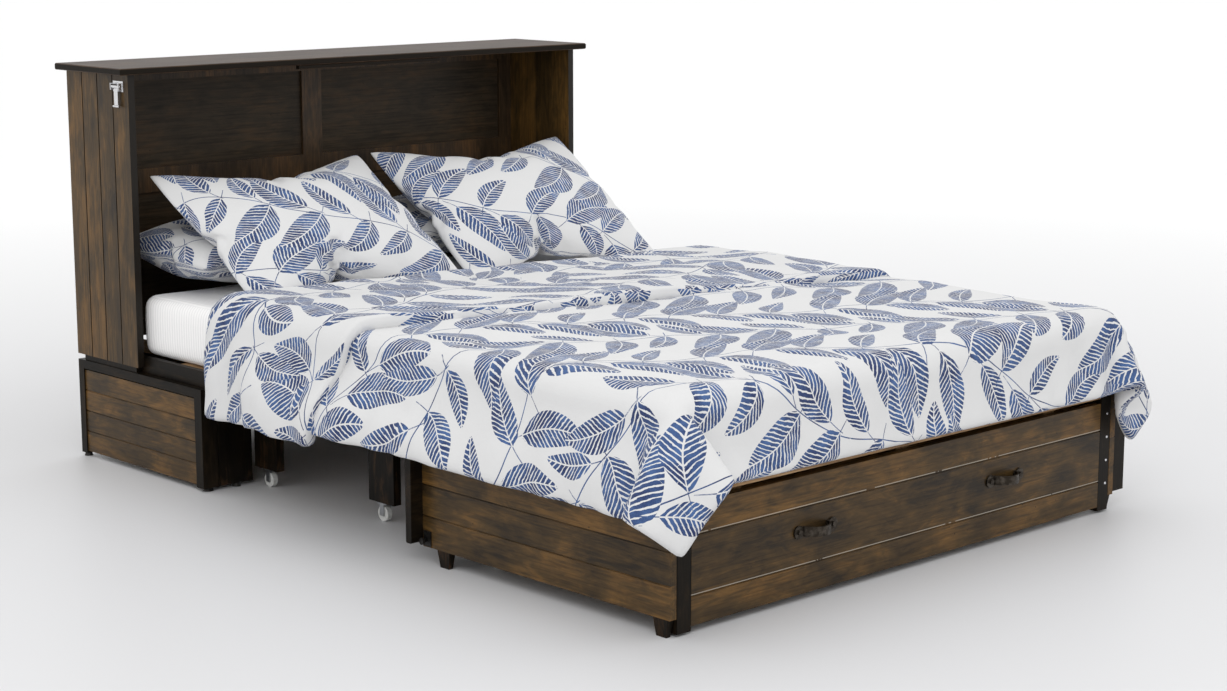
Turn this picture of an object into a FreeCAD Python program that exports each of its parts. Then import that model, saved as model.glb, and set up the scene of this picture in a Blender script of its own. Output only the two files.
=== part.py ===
import FreeCAD, Part
import os

# Cabinet bed (murphy wall bed), shown open: a cabinet headboard on a base, a slatted
# platform on two pull-out stages, a tilting foot tray and a drawer below it, with bedding.
# Millimetres, +Z up, head end at +Y. The drawing frame has y = 0 at the wall plane and
# y falling towards the foot; every solid is moved by half the length when it is saved.

V = FreeCAD.Vector
os.makedirs("parts", exist_ok=True)

# driving dimensions
LENGTH = 2385.0            # wall plane to the front of the duvet
PANEL = 790.0              # half width over the side panels
TOP_HALF = 825.0           # half width of the top board and of the tray's end board
BOARD = 20.0               # thickness of the cabinet boards
HEIGHT = 1090.0
UPPER_DEPTH = 305.0
TOP_DEPTH = 325.0
TOP_THICK = 18.0
UPPER_FLOOR = 290.0        # underside of the upper side panels
BASE_DEPTH = 600.0
BASE_TOP = 274.0
BASE_GAP = 10.0            # under the base, filled by its glides
SLAT_TOP = 315.0
SLAT_THICK = 16.0
BAR_TOP = 297.0            # crossbars stay 2 mm under the other stages' slats
BAR_DEEP = 40.0
SLAT_PITCH = 72.0
SLAT_WIDE = 62.0
SLAT_SPAN = 10             # slats each side of the middle one
LEG_X = (608.0, 631.0)     # inner and outer face of a stage leg
LEG_FLOOR = 48.0
TRAY_HEAD = -1490.0        # head side of the tray's end board
TRAY_FOOT = -2327.0        # foot plane of the tray and the drawer front
TRAY_FLOOR = 41.0
PIVOT = (-2320.0, 300.0)   # y and z of the tray's pivot
PIN_R = 6.0
PIN_BORE_R = 6.05
POST = (727.0, 768.0)      # x range of the foot posts
POST_BACK = -2300.0        # head side of the foot posts
DRAWER_HALF = 726.0
DRAWER_Z = (17.0, 284.0)
CARCASS_X = (700.0, 718.0)
CARCASS_HEAD = -1600.0
GROOVE_DEEP = 2.5
GROOVE_WIDE = 4.0
WHEEL_R = 20.0
WHEEL_WIDE = 16.0
AXLE_R = 3.0
AXLE_BORE_R = 3.05
MATTRESS_HALF = 750.0
MATTRESS_Z = (315.5, 480.0)
MATTRESS_Y = (-268.0, -2300.0)
HANDLE_X = 339.0
HANDLE_Z = 160.0
HANDLE_SPAN = 120.0
HANDLE_REACH = 36.0
STRAP_THICK = 4.0
STRAP_DEEP = 22.0
LATCH_Y = -262.0
LATCH_Z = 1040.0

saved = []


def box(x0, x1, y0, y1, z0, z1):
    """A block between two opposite corners, given as ranges along X, Y and Z."""
    x0, x1 = sorted((x0, x1))
    y0, y1 = sorted((y0, y1))
    z0, z1 = sorted((z0, z1))
    return Part.makeBox(x1 - x0, y1 - y0, z1 - z0, V(x0, y0, z0))


def rod(radius, start, end):
    start, end = V(*start), V(*end)
    run = end.sub(start)
    return Part.makeCylinder(radius, run.Length, start, run)


def both(make):
    """The left and the right copy of what make(side) builds."""
    return [make(-1), make(1)]


def save(node, *shapes):
    """Moves the solids to the bounding box centre and writes one file for the node."""
    solids = []
    for shape in shapes:
        group = shape if isinstance(shape, (list, tuple)) else [shape]
        for one in group:
            solids.extend(one.Solids)
    moved = [s.translated(V(0, LENGTH / 2, 0)) for s in solids]
    whole = moved[0] if len(moved) == 1 else Part.makeCompound(moved)
    whole.exportStep("parts/%s.step" % node)
    saved.append((node, len(moved), whole.Volume))


def prism(points_yz, x0, x1):
    """A solid with a closed outline in the YZ plane, from x0 to x1."""
    ring = [V(x0, y, z) for y, z in points_yz]
    wire = Part.makePolygon(ring + [ring[0]])
    return Part.Face(wire).extrude(V(x1 - x0, 0, 0))


def ease(shape, radius, keep):
    """Rounds the straight edges whose middle passes the keep test."""
    edges = [e for e in shape.Edges if keep(e.CenterOfMass, e)]
    return shape.makeFillet(radius, edges)


def grooved(shape, cuts):
    for cut in cuts:
        shape = shape.cut(cut)
    return shape


# ---------------------------------------------------------------- cabinet, upper part
def top_board():
    board = box(-TOP_HALF, TOP_HALF, 0, -TOP_DEPTH, HEIGHT - TOP_THICK, HEIGHT)
    return ease(board, 5, lambda c, e: c.y < -1 and abs(c.z - HEIGHT + TOP_THICK / 2) > 2)


def upper_side(side):
    panel = box(side * (PANEL - BOARD), side * PANEL, 0, -UPPER_DEPTH,
                UPPER_FLOOR, HEIGHT - TOP_THICK)
    planks = 4
    pitch = UPPER_DEPTH / planks
    cuts = [box(side * (PANEL - GROOVE_DEEP), side * (PANEL + 1),
                -pitch * k - GROOVE_WIDE / 2, -pitch * k + GROOVE_WIDE / 2,
                UPPER_FLOOR - 1, HEIGHT)
            for k in range(1, planks)]
    return grooved(panel, cuts)


INNER = PANEL - BOARD
STILE = 48.0
MID_STILE = 35.0
BACK_FLOOR = 320.0            # the back stands on the head slats
RAIL_Z = ((BACK_FLOOR, 360.0), (720.0, 788.0), (1032.0, HEIGHT - TOP_THICK))
FRAME_Y = (-12.0, -34.0)
PANEL_Y = (-18.0, -26.0)


def back_frame():
    z0, z1 = BACK_FLOOR, HEIGHT - TOP_THICK
    stiles = [box(-INNER, -INNER + STILE, *FRAME_Y, z0, z1),
              box(INNER - STILE, INNER, *FRAME_Y, z0, z1),
              box(-MID_STILE, MID_STILE, *FRAME_Y, z0, z1)]
    rails = []
    for low, high in RAIL_Z:
        rails.append(box(-INNER + STILE, -MID_STILE, *FRAME_Y, low, high))
        rails.append(box(MID_STILE, INNER - STILE, *FRAME_Y, low, high))
    return stiles + rails


def back_panels():
    panels = []
    for low, high in ((RAIL_Z[0][1], RAIL_Z[1][0]), (RAIL_Z[1][1], RAIL_Z[2][0])):
        panels.append(box(-INNER + STILE, -MID_STILE, *PANEL_Y, low, high))
        panels.append(box(MID_STILE, INNER - STILE, *PANEL_Y, low, high))
    return panels


def pull_strip():
    strip = box(-250, 250, -306, -320, 1061, 1071.9)
    return ease(strip, 3, lambda c, e: c.y < -319 and abs(c.x) < 1)


def latch_plate(side):
    x0 = side * PANEL
    plate = box(x0, x0 + side * 3, LATCH_Y - 24, LATCH_Y + 24, LATCH_Z - 14, LATCH_Z + 14)
    ears = [box(x0 + side * 3, x0 + side * 15, y, y + 3, LATCH_Z - 9, LATCH_Z + 9)
            for y in (LATCH_Y - 20, LATCH_Y + 17)]
    pin = rod(AXLE_R, (x0 + side * 9, LATCH_Y - 22, LATCH_Z), (x0 + side * 9, LATCH_Y + 22, LATCH_Z))
    return plate.fuse(ears).fuse(pin)


def latch_arm(side):
    """A barrel on the latch pin, with the draw hook that hangs from it."""
    x = side * (PANEL + 9)
    barrel = rod(5.5, (x, LATCH_Y - 16, LATCH_Z), (x, LATCH_Y + 16, LATCH_Z))
    strap = box(x - 1.5, x + 1.5, LATCH_Y - 9, LATCH_Y + 9, LATCH_Z - 52, LATCH_Z)
    hook = rod(3.5, (x, LATCH_Y - 14, LATCH_Z - 52), (x, LATCH_Y + 14, LATCH_Z - 52))
    body = barrel.fuse([strap, hook])
    return body.cut(rod(AXLE_BORE_R, (x, LATCH_Y - 30, LATCH_Z), (x, LATCH_Y + 30, LATCH_Z)))


# ---------------------------------------------------------------- cabinet, base
REAR_POST = 26.0
FRONT_POST = (742.0, 32.0)     # inner face, depth
PLANK_Z = (16.0, 246.0)


def base_posts(side):
    rear = box(side * (PANEL - REAR_POST), side * PANEL, 0, -REAR_POST, BASE_GAP, BASE_TOP)
    front = box(side * FRONT_POST[0], side * PANEL, -BASE_DEPTH + FRONT_POST[1], -BASE_DEPTH,
                BASE_GAP, BASE_TOP)
    return Part.makeCompound([rear, front])


def base_side(side):
    y0, y1 = -REAR_POST, -BASE_DEPTH + FRONT_POST[1]
    panel = box(side * (PANEL - 22), side * (PANEL - 4), y0, y1, *PLANK_Z)
    rows = 4
    pitch = (PLANK_Z[1] - PLANK_Z[0]) / rows
    cuts = [box(side * (PANEL - 4 - GROOVE_DEEP), side * PANEL, y0 + 1, y1 - 1,
                PLANK_Z[0] + pitch * k - GROOVE_WIDE / 2, PLANK_Z[0] + pitch * k + GROOVE_WIDE / 2)
            for k in range(1, rows)]
    return grooved(panel, cuts)


def base_top_rail(side):
    return box(side * (PANEL - REAR_POST), side * PANEL, -REAR_POST, -BASE_DEPTH + FRONT_POST[1],
               PLANK_Z[1] + 4, BASE_TOP)


PEDESTAL = (636.0, 740.0)


def base_pedestal(side):
    face = box(side * PEDESTAL[0], side * PEDESTAL[1], -582, -BASE_DEPTH, BASE_GAP, 250)
    cheek = box(side * PEDESTAL[0], side * (PEDESTAL[0] + 18), -60, -582, 30, 250)
    return Part.makeCompound([face, cheek])


def base_back():
    panel = box(-PANEL + REAR_POST, PANEL - REAR_POST, -4, -16, 40, BASE_TOP)
    rail = box(-PEDESTAL[0], PEDESTAL[0], -40, -58, 30, 70)
    return [panel, rail]


def base_glide(side):
    rear = Part.makeCone(12, 9, BASE_GAP, V(side * (PANEL - 13), -13, 0))
    front = Part.makeCone(14, 10, BASE_GAP, V(side * (PANEL - 24), -BASE_DEPTH + 16, 0))
    inner = Part.makeCone(12, 9, BASE_GAP, V(side * 682, -BASE_DEPTH + 9, 0))
    return Part.makeCompound([rear, front, inner])


def spacer(side):
    return box(side * (PANEL - 18), side * (PANEL - 4), -30, -290, BASE_TOP, UPPER_FLOOR)


# ---------------------------------------------------------------- slatted platform
STAGES = {                     # slat range in y, crossbar's y range, leg's y range
    "head": ((-20.0, -598.0), (-455.0, -480.0), None),
    "stage_a": ((-440.0, -960.0), (-689.0, -712.0), (-606.0, -706.0)),
    "stage_b": ((-660.0, -1440.0), (-1138.0, -1161.0), (-1098.0, -1198.0)),
}
HEAD_REAR_BAR = (-40.0, -65.0)
BAR_HALF = 738.0
HEAD_BAR_HALF = 752.0


def slat_columns(turn):
    """The x places of the slats of one stage; the stages take turns from the middle out."""
    return [SLAT_PITCH * k for k in range(-SLAT_SPAN, SLAT_SPAN + 1) if abs(k) % 3 == turn]


def slats(stage, turn):
    (head, foot), bar, _ = STAGES[stage]
    bars = [bar] + ([HEAD_REAR_BAR] if stage == "head" else [])
    made = []
    for x in slat_columns(turn):
        x0, x1 = x - SLAT_WIDE / 2, x + SLAT_WIDE / 2
        slat = box(x0, x1, head, foot, SLAT_TOP - SLAT_THICK, SLAT_TOP)
        pads = [box(x0, x1, b[0], b[1], BAR_TOP, SLAT_TOP - SLAT_THICK) for b in bars]
        made.append(slat.fuse(pads).removeSplitter())
    return made


def crossbar(y_range, half):
    return box(-half, half, y_range[0], y_range[1], BAR_TOP - BAR_DEEP, BAR_TOP)


def head_deck_rail(side):
    """A ledge along the base that carries the ends of the head crossbars."""
    return box(side * HEAD_BAR_HALF, side * (HEAD_BAR_HALF + 16), -20, -598, 275, SLAT_TOP + 3)


def stage_leg(stage, side):
    bar, leg = STAGES[stage][1], STAGES[stage][2]
    return box(side * LEG_X[0], side * LEG_X[1], leg[0], leg[1], LEG_FLOOR, BAR_TOP - BAR_DEEP)


def caster_fork(x, y, top):
    """A plate, two cheeks and an axle; the wheel turns on the axle, clear of the cheeks."""
    plate = box(x - 12.5, x + 12.5, y - 18, y + 18, top - 3, top)
    gap = WHEEL_WIDE / 2 + 1
    cheeks = [box(x + s * gap, x + s * (gap + 2.5), y - 8, y + 8, WHEEL_R - 5, top - 3)
              for s in (-1, 1)]
    reach = gap + 2.5
    axle = rod(AXLE_R, (x - reach, y, WHEEL_R), (x + reach, y, WHEEL_R))
    return plate.fuse(cheeks).fuse(axle).removeSplitter()


def wheel(x, y):
    half = WHEEL_WIDE / 2
    tyre = rod(WHEEL_R, (x - half, y, WHEEL_R), (x + half, y, WHEEL_R))
    tyre = tyre.makeFillet(2.5, [e for e in tyre.Edges if isinstance(e.Curve, Part.Circle)])
    return tyre.cut(rod(AXLE_BORE_R, (x - half - 1, y, WHEEL_R), (x + half + 1, y, WHEEL_R)))


STAGE_CASTER_Y = {"stage_a": -662.0, "stage_b": -1148.0}
CASTER_X = (LEG_X[0] + LEG_X[1]) / 2


# ---------------------------------------------------------------- foot unit
def foot_post(side):
    post = box(side * POST[0], side * POST[1], POST_BACK, TRAY_FOOT, 6, SLAT_TOP - 1)
    bore = rod(PIN_R, (side * 700, *PIVOT), (side * 800, *PIVOT))
    return post.cut(bore)


def pivot_pin(side):
    return rod(PIN_R, (side * POST[0], *PIVOT), (side * (PANEL - 1), *PIVOT))


CARCASS_Z = (60.0, 268.0)
CARCASS_RAIL_Z = 250.0         # underside of the top rails
CARCASS_RAIL_Y = ((CARCASS_HEAD, CARCASS_HEAD - 18), (-2240, -2290))


def carcass_side(side):
    """The drawer's side wall, and the block that ties it to the foot post."""
    wall = box(side * CARCASS_X[0], side * CARCASS_X[1], CARCASS_HEAD, POST_BACK, *CARCASS_Z)
    filler = box(side * CARCASS_X[1], side * POST[0], POST_BACK - 2, -2260, *CARCASS_Z)
    return Part.makeCompound([wall, filler])


def carcass_rails():
    inner = CARCASS_X[0]
    return [box(-inner, inner, *ys, CARCASS_RAIL_Z, CARCASS_Z[1]) for ys in CARCASS_RAIL_Y]


def carcass_back():
    inner = CARCASS_X[0]
    return box(-inner, inner, CARCASS_HEAD, CARCASS_HEAD - 12, CARCASS_Z[0], CARCASS_RAIL_Z)


FOOT_CASTERS = ((690.0, -1660.0), (690.0, -2230.0))


# ---------------------------------------------------------------- drawer
DRAWER_INSIDE = 672.0          # half width between the drawer's sides
DRAWER_HEAD = -1655.0
DRAWER_WALL = 14.0
DRAWER_WALL_Z = (70.0, 225.0)
DRAWER_BOTTOM_Z = (72.0, 80.0)
FRONT_BACK = TRAY_FOOT + 22.0  # rear face of the drawer front


def drawer_side(side):
    return box(side * DRAWER_INSIDE, side * (DRAWER_INSIDE + DRAWER_WALL), DRAWER_HEAD,
               FRONT_BACK, *DRAWER_WALL_Z)


def drawer_back():
    return box(-DRAWER_INSIDE, DRAWER_INSIDE, DRAWER_HEAD, DRAWER_HEAD - DRAWER_WALL,
               DRAWER_BOTTOM_Z[1], DRAWER_WALL_Z[1])


def drawer_bottom():
    return box(-DRAWER_INSIDE, DRAWER_INSIDE, DRAWER_HEAD - DRAWER_WALL, FRONT_BACK, *DRAWER_BOTTOM_Z)


def runner_inner(side):
    x = DRAWER_INSIDE + DRAWER_WALL
    return box(side * x, side * (x + 7), DRAWER_HEAD + 5, -2300, 133, 157)


def runner_outer(side):
    x = CARCASS_X[0]
    return box(side * (x - 6), side * (x - 0.1), -1640, -2290, 130, 160)


def drawer_front():
    board = box(-DRAWER_HALF, DRAWER_HALF, FRONT_BACK, TRAY_FOOT, *DRAWER_Z)
    cuts = [box(-DRAWER_HALF - 1, DRAWER_HALF + 1, TRAY_FOOT - 1, TRAY_FOOT + GROOVE_DEEP,
                z - GROOVE_WIDE / 2, z + GROOVE_WIDE / 2)
            for z in (82.0, 214.0)]
    return grooved(board, cuts)


def handle(side):
    """A flat strap bent into a bow, with a tab, a round rose and a stud at each end."""
    x = side * HANDLE_X
    z = HANDLE_Z
    y = TRAY_FOOT
    bow_half = HANDLE_SPAN / 2 - 22

    def bow(reach, spread):
        return V(x - bow_half - spread, y, z), V(x, y - reach, z), V(x + bow_half + spread, y, z)

    a0, b0, c0 = bow(HANDLE_REACH - STRAP_THICK / 2, STRAP_THICK)
    a1, b1, c1 = bow(HANDLE_REACH - STRAP_THICK * 1.5, 0)
    ring = Part.Wire([Part.Arc(a0, b0, c0).toShape(), Part.LineSegment(c0, c1).toShape(),
                      Part.Arc(c1, b1, a1).toShape(), Part.LineSegment(a1, a0).toShape()])
    pieces = []
    for end in (-1, 1):
        rose_x = x + end * (HANDLE_SPAN / 2 - 4)
        tab_x = rose_x - end * 20
        pieces.append(rod(15, (rose_x, y, z), (rose_x, y - 4, z)))
        pieces.append(rod(6, (rose_x, y - 4, z), (rose_x, y - 9, z)))
        pieces.append(box(tab_x, rose_x, y, y - 3.5, z - STRAP_DEEP / 2, z + STRAP_DEEP / 2))
    strap = Part.Face(ring).extrude(V(0, 0, STRAP_DEEP)).translated(V(0, 0, -STRAP_DEEP / 2))
    return strap.fuse(pieces).removeSplitter()


# ---------------------------------------------------------------- tray
def tray_side(side):
    panel = box(side * (PANEL - BOARD), side * PANEL, TRAY_HEAD - BOARD, TRAY_FOOT,
                TRAY_FLOOR, SLAT_TOP)
    pitch = 74.5
    cuts = [box(side * (PANEL - GROOVE_DEEP), side * (PANEL + 1), TRAY_HEAD, TRAY_FOOT - 1,
                TRAY_FLOOR + pitch * k - GROOVE_WIDE / 2, TRAY_FLOOR + pitch * k + GROOVE_WIDE / 2)
            for k in range(1, 4)]
    bore = rod(PIN_BORE_R, (side * 760, *PIVOT), (side * 800, *PIVOT))
    return grooved(panel, cuts).cut(bore)


def tray_stile():
    """The upright board outboard of the right foot post, under the duvet's edge."""
    board = box(PANEL, 850, -2298, -2318, 44, 288)
    return ease(board, 3, lambda c, e: abs(c.x - 850) < 1 and abs(c.z - 166) < 1)


def tray_end_board():
    board = box(-TOP_HALF, TOP_HALF, TRAY_HEAD, TRAY_HEAD - BOARD, 51, SLAT_TOP)
    return ease(board, 4, lambda c, e: abs(c.z - 51) < 1 and abs(c.x) < 1)


def tray_deck():
    """Planks across the tray; the first one passes between the foot posts."""
    inner = PANEL - BOARD - 0.5
    planks = []
    start, count, gap = -2284.0, 8, 4.0
    pitch = (TRAY_HEAD - BOARD - start) / count
    for k in range(count):
        y0 = start + pitch * k
        planks.append(box(-inner, inner, y0 + gap / 2, y0 + pitch - gap / 2, SLAT_TOP - 18, SLAT_TOP))
    planks.append(box(-722, 722, start - gap / 2, TRAY_FOOT, SLAT_TOP - 18, SLAT_TOP))
    return planks


def tray_batten(x):
    return box(x - 22, x + 22, TRAY_HEAD - BOARD - 2, -2290, SLAT_TOP - 40, SLAT_TOP - 18)


def tray_foot(side, y):
    """A tapered foot under the side panel's lower edge."""
    low = (side * 774, side * 786, 15)
    high = (side * (PANEL - BOARD + 0.5), side * (PANEL - 0.5), 22)
    rings = [[V(x0, y - half, z), V(x0, y + half, z), V(x1, y + half, z), V(x1, y - half, z)]
             for (x0, x1, half), z in ((low, 0), (high, TRAY_FLOOR))]
    return Part.makeLoft([Part.makePolygon(ring + [ring[0]]) for ring in rings], True, True)


def tray_catch(side):
    y, z = -1527.0, 58.0
    x = side * PANEL
    plate = box(x, x + side * 3, y - 14, y + 12, z - 14, z + 22)
    stem = rod(4, (x + side * 3, y, z), (x + side * 14, y, z))
    knob = rod(8, (x + side * 14, y, z), (x + side * 20, y, z))
    return plate.fuse([stem, knob])


# ---------------------------------------------------------------- bedding
def mattress():
    block = box(-MATTRESS_HALF, MATTRESS_HALF, *MATTRESS_Y, *MATTRESS_Z)
    middle = sum(MATTRESS_Z) / 2
    return ease(block, 40, lambda c, e: abs(c.z - middle) < 1)


DUVET_UNDER = MATTRESS_Z[1] + 0.5
DUVET_HEAD = -780.0
DUVET_FOLD = -1445.0           # free edge of the part that is folded back over the rest
FOLD_TOP = 575.0               # two layers
DUVET_TOP = 535.0              # one layer
DUVET_SLOPE = -2250.0          # from here it falls towards the foot
DUVET_SIDE = (854.0, 892.0)
SIDE_HEAD = -665.0             # the folded corner hangs nearer the head than the fold does
DUVET_DROP = 235.0             # lower edge at the sides
DUVET_HEM = 290.0              # lower edge over the foot
POST_CLEAR = -2340.0           # the hem hangs in front of the posts from here


def duvet():
    """Blocks face to face: folded part, single part, upper and lower foot drop, two sides."""
    foot = MATTRESS_Y[1] - 4
    foot_top = DUVET_TOP - (DUVET_SLOPE - foot) * 0.3
    half = DUVET_SIDE[0]
    blocks = [
        box(-half, half, DUVET_HEAD, DUVET_FOLD, DUVET_UNDER, FOLD_TOP),
        prism([(DUVET_FOLD, DUVET_UNDER), (DUVET_FOLD, DUVET_TOP), (DUVET_SLOPE, DUVET_TOP),
               (foot, foot_top), (foot, DUVET_UNDER)], -half, half),
        prism([(foot, SLAT_TOP + 1), (foot, foot_top), (-2350, 500), (-LENGTH, 440),
               (-LENGTH, SLAT_TOP + 1)], -half, half),
        box(-half, half, POST_CLEAR, -LENGTH, DUVET_HEM, SLAT_TOP + 1),
    ]
    for side, end in ((-1, -LENGTH), (1, -2270)):
        outline = [(SIDE_HEAD, DUVET_DROP), (SIDE_HEAD, 530), (DUVET_SLOPE, 530), (end, 440),
                   (end, DUVET_DROP)]
        blocks.append(prism(outline, side * DUVET_SIDE[0], side * DUVET_SIDE[1]))
    return blocks


def sham(side):
    """A square-edged pillow that leans on the flat one behind it."""
    outline = [(-715, 481), (-721, 500), (-245, 790), (-175, 705), (-560, 481)]
    x0, x1 = (-725, 15) if side < 0 else (20, 760)
    return prism(outline, x0, x1)


def flat_pillow(side):
    block = box(side * 20, side * 735, -45, -325, 480.5, 598)
    return ease(block, 30, lambda c, e: c.z > 590)


# ---------------------------------------------------------------- writing the nodes
def main():
    save("top_board", top_board())
    save("upper_side_left", upper_side(-1))
    save("upper_side_right", upper_side(1))
    save("back_frame", back_frame())
    save("back_panels", back_panels())
    save("top_pull_strip", pull_strip())
    save("latch_plates", both(latch_plate))
    save("latch_arm_left", latch_arm(-1))
    save("latch_arm_right", latch_arm(1))
    save("upper_spacers", both(spacer))
    save("base_posts", both(base_posts))
    save("base_side_left", base_side(-1))
    save("base_side_right", base_side(1))
    save("base_top_rails", both(base_top_rail))
    save("base_pedestals", both(base_pedestal))
    save("base_back", base_back())
    save("base_glides", both(base_glide))

    save("head_deck_rails", both(head_deck_rail))
    save("head_crossbars", crossbar(STAGES["head"][1], HEAD_BAR_HALF),
         crossbar(HEAD_REAR_BAR, HEAD_BAR_HALF))
    save("head_slats", slats("head", 0))
    for turn, stage in enumerate(("stage_a", "stage_b"), start=1):
        caster_y = STAGE_CASTER_Y[stage]
        save(stage + "_slats", slats(stage, turn))
        save(stage + "_crossbar", crossbar(STAGES[stage][1], BAR_HALF))
        save(stage + "_legs", both(lambda s: stage_leg(stage, s)))
        save(stage + "_forks", both(lambda s: caster_fork(s * CASTER_X, caster_y, LEG_FLOOR)))
        save(stage + "_wheels", both(lambda s: wheel(s * CASTER_X, caster_y)))

    save("foot_posts", both(foot_post))
    save("tray_pivot_pins", both(pivot_pin))
    save("carcass_sides", both(carcass_side))
    save("carcass_rails", carcass_rails())
    save("carcass_back", carcass_back())
    save("drawer_runners_outer", both(runner_outer))
    save("foot_forks", [caster_fork(s * x, y, CARCASS_Z[0]) for s in (-1, 1) for x, y in FOOT_CASTERS])
    for name, (x, y) in zip(("rear", "front"), FOOT_CASTERS):
        save("foot_wheels_" + name, both(lambda s: wheel(s * x, y)))

    save("drawer_front", drawer_front())
    save("drawer_sides", both(drawer_side))
    save("drawer_back", drawer_back())
    save("drawer_bottom", drawer_bottom())
    save("drawer_runners_inner", both(runner_inner))
    save("handle_left", handle(-1))
    save("handle_right", handle(1))

    save("tray_side_left", tray_side(-1))
    save("tray_side_right", tray_side(1))
    save("tray_stile_right", tray_stile())
    save("tray_end_board", tray_end_board())
    save("tray_deck", tray_deck())
    save("tray_battens", [tray_batten(x) for x in (-560, 0, 560)])
    save("tray_feet", [tray_foot(s, y) for s in (-1, 1) for y in (-1583, -2298)])
    save("tray_catches", both(tray_catch))

    save("mattress", mattress())
    save("duvet", duvet())
    save("sham_left", sham(-1))
    save("sham_right", sham(1))
    save("pillow_left", flat_pillow(-1))
    save("pillow_right", flat_pillow(1))


main()
for node, count, volume in saved:
    print("%-24s %3d solids %12.0f mm3" % (node, count, volume))
print(len(saved), "nodes")
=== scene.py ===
"""Looks of the cabinet bed: stained plank wood, printed cotton bedding, ribbed sheet."""

import math

import bmesh
import bpy
import numpy as np
from mathutils import Matrix, Vector, noise


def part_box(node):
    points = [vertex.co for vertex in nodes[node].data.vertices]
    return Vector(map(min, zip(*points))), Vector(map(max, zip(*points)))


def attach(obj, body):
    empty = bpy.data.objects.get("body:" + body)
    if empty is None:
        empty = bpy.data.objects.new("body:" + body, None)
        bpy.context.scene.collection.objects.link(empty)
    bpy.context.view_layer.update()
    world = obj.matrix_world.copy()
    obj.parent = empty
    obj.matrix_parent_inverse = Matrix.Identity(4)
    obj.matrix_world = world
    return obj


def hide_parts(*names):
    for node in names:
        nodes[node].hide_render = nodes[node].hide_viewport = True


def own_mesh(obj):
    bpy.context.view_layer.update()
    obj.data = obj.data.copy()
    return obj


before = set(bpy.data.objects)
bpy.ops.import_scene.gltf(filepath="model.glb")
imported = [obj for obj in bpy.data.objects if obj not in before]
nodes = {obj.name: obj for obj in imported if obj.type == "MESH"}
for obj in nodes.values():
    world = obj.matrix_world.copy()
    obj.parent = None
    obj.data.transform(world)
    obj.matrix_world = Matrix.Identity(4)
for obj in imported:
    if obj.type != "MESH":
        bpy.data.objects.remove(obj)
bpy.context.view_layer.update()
scene = bpy.context.scene


# ------------------------------------------------------------------ node helpers
class Graph:
    """Short calls for the nodes that the materials share."""

    def __init__(self, tree):
        self.tree = tree

    def add(self, kind, settings=None, **inputs):
        """Adds a node. Inputs go by name, with _ for a space, or by number as _0, _1."""
        made = self.tree.nodes.new(kind)
        for key, value in (settings or {}).items():
            setattr(made, key, value)
        for key, value in inputs.items():
            name = int(key[1:]) if key[0] == "_" else key.replace("_", " ")
            self.feed(made.inputs[name], value)
        return made

    def feed(self, socket, value):
        if isinstance(value, bpy.types.NodeSocket):
            self.tree.links.new(value, socket)
        else:
            socket.default_value = value

    def math(self, operation, a, b=0.0, c=0.0, clamp=False):
        made = self.add("ShaderNodeMath", {"operation": operation, "use_clamp": clamp}, _0=a, _1=b, _2=c)
        return made.outputs[0]

    def vector(self, operation, a, b=(0, 0, 0), c=(0, 0, 0)):
        made = self.add("ShaderNodeVectorMath", {"operation": operation}, _0=a, _1=b)
        if operation == "WRAP":
            self.feed(made.inputs[2], c)
        return made.outputs["Value" if operation in ("DOT_PRODUCT", "LENGTH") else "Vector"]

    def noise(self, point, scale, detail=3.0, rough=0.5, distortion=0.0):
        made = self.add("ShaderNodeTexNoise", Vector=point, Scale=scale, Detail=detail,
                        Roughness=rough, Distortion=distortion)
        return made.outputs["Fac"]

    def scaled(self, point, scale):
        return self.vector("MULTIPLY", point, scale)

    def ramp(self, fac, stops):
        made = self.add("ShaderNodeValToRGB", Fac=fac)
        elements = made.color_ramp.elements
        while len(elements) < len(stops):
            elements.new(0.5)
        for element, (place, colour) in zip(elements, stops):
            element.position = place
            element.color = (*colour, 1)
        return made.outputs["Color"]

    def mix(self, fac, a, b, blend="MIX"):
        """Colour mix: the node's colour sockets are inputs 6 and 7 and output 2."""
        made = self.add("ShaderNodeMix", {"data_type": "RGBA", "blend_type": blend})
        for index, value in ((0, fac), (6, a), (7, b)):
            if not isinstance(value, bpy.types.NodeSocket) and index:
                value = (*value, 1)
            self.feed(made.inputs[index], value)
        return made.outputs[2]

    def bump(self, height, distance, strength=1.0):
        made = self.add("ShaderNodeBump", Height=height, Distance=distance, Strength=strength)
        return made.outputs["Normal"]


def material(name, **sockets):
    made = bpy.data.materials.new(name)
    made.use_nodes = True
    graph = Graph(made.node_tree)
    shader = made.node_tree.nodes["Principled BSDF"]
    for key, value in sockets.items():
        shader.inputs[key.replace("_", " ")].default_value = value
    return made, graph, shader


def srgb(red, green, blue):
    """A colour given as 0 to 255 screen values, in linear light."""
    return tuple(((c / 255 + 0.055) / 1.055) ** 2.4 if c > 10 else c / 3295 for c in (red, green, blue))


# ------------------------------------------------------------------ wood
PAINTED_GLINT = srgb(214, 206, 192)       # painted highlight: the pale glint along a groove's edge
PAINTED_GLINT_HALF = 0.0013               # half height of the painted glint line
GRAIN_STRETCH = {"X": (1.0, 5.0, 5.0), "Y": (5.0, 1.0, 5.0), "Z": (5.0, 5.0, 1.0)}
FINE_GRAIN = {"X": (0.25, 1.6, 1.6), "Y": (1.6, 0.25, 1.6), "Z": (1.6, 1.6, 0.25)}


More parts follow.
